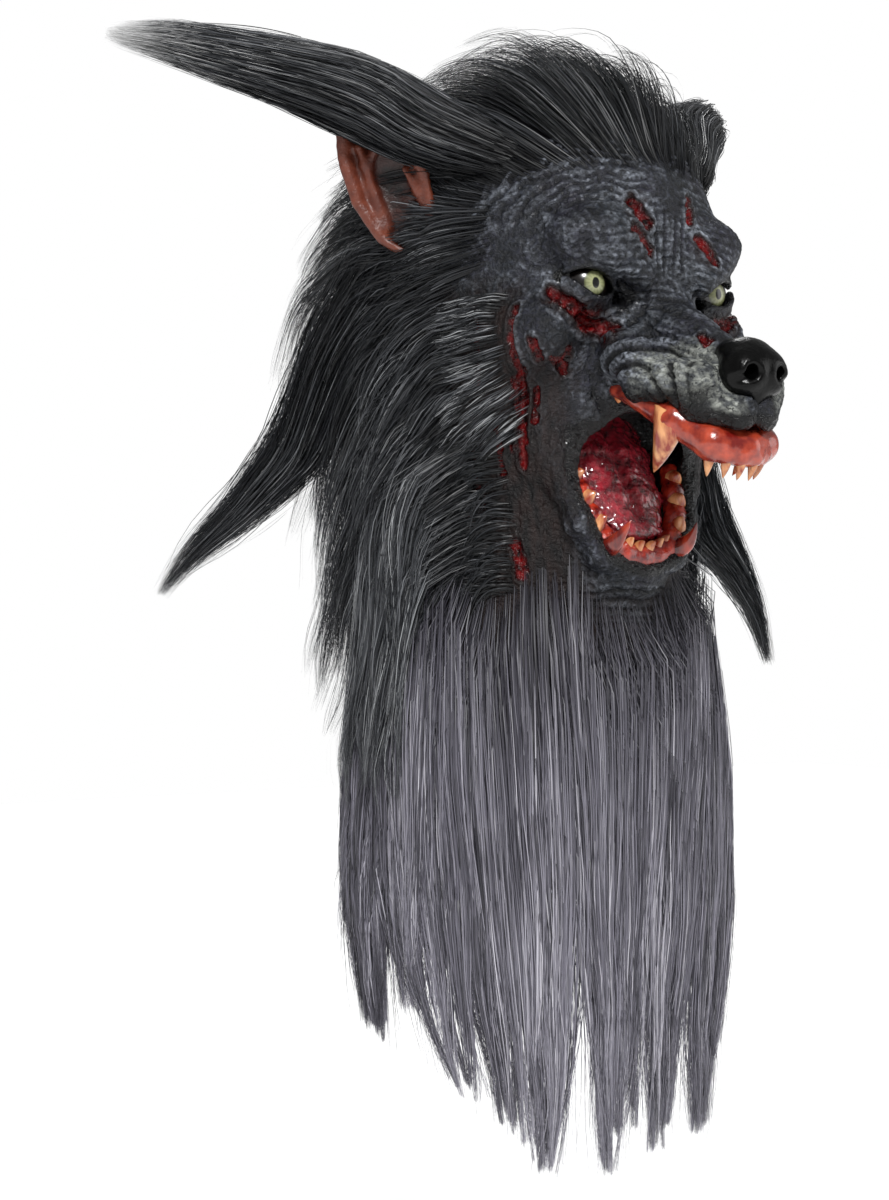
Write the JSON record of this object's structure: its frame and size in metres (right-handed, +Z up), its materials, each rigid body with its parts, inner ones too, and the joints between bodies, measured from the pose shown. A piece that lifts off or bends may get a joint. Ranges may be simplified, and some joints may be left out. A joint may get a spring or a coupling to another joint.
{
  "type": "latex halloween mask",
  "caption": "Over-head wolf creature mask: open-mouthed cast latex skin with cast teeth and tongue, domed eyes, ears and long glued fur",
  "frame": {"origin": "point inside the crown where the mask bears on top of the wearer's head", "axes": "+Z up, the face looks along -Y, the wearer's right is -X"},
  "size_m": [0.4247, 0.3729, 0.7021],
  "materials": {
    "latex_skin": "satin, hand painted",
    "acrylic_dome": "clear gloss",
    "eye_paint": "gloss",
    "nose_gloss": "wet gloss",
    "gum": "wet gloss",
    "tooth": "gloss, stained",
    "tongue_skin": "wet gloss",
    "throat_skin": "satin",
    "ear_skin": "satin",
    "fur_dark": "long combed faux fur",
    "fur_grey": "long combed faux fur"
  },
  "bodies": {
    "root": {"latex_face": "latex_skin", "latex_cranium": "latex_skin", "latex_lower_jaw": "latex_skin", "latex_neck_bib": "latex_skin", "eye_dome_right": "acrylic_dome", "eye_dome_left": "acrylic_dome", "eye_insert_right": "eye_paint", "eye_insert_left": "eye_paint", "nose_pad": "nose_gloss", "upper_gum": "gum", "lower_gum": "gum", "upper_incisors": "tooth", "upper_canine_right": "tooth", "upper_canine_left": "tooth", "upper_cheek_teeth_right": "tooth", "upper_cheek_teeth_left": "tooth", "lower_incisors": "tooth", "lower_canine_right": "tooth", "lower_canine_left": "tooth", "lower_cheek_teeth_right": "tooth", "lower_cheek_teeth_left": "tooth", "tongue": "tongue_skin", "mouth_lining": "throat_skin", "ear_right": "ear_skin", "ear_left": "ear_skin", "fur_crown": "fur_dark", "fur_back_mane": "fur_dark", "fur_side_mane_right": "fur_dark", "fur_side_mane_left": "fur_dark", "fur_cheek_right": "fur_dark", "fur_cheek_left": "fur_dark", "ear_tuft_right": "fur_dark", "ear_tuft_left": "fur_dark", "flick_lock_right": "fur_dark", "flick_lock_left": "fur_dark", "fur_beard": "fur_grey", "fur_nape": "fur_grey", "fur_cape_right": "fur_grey", "fur_cape_left": "fur_grey"}
  },
  "joints": []
}
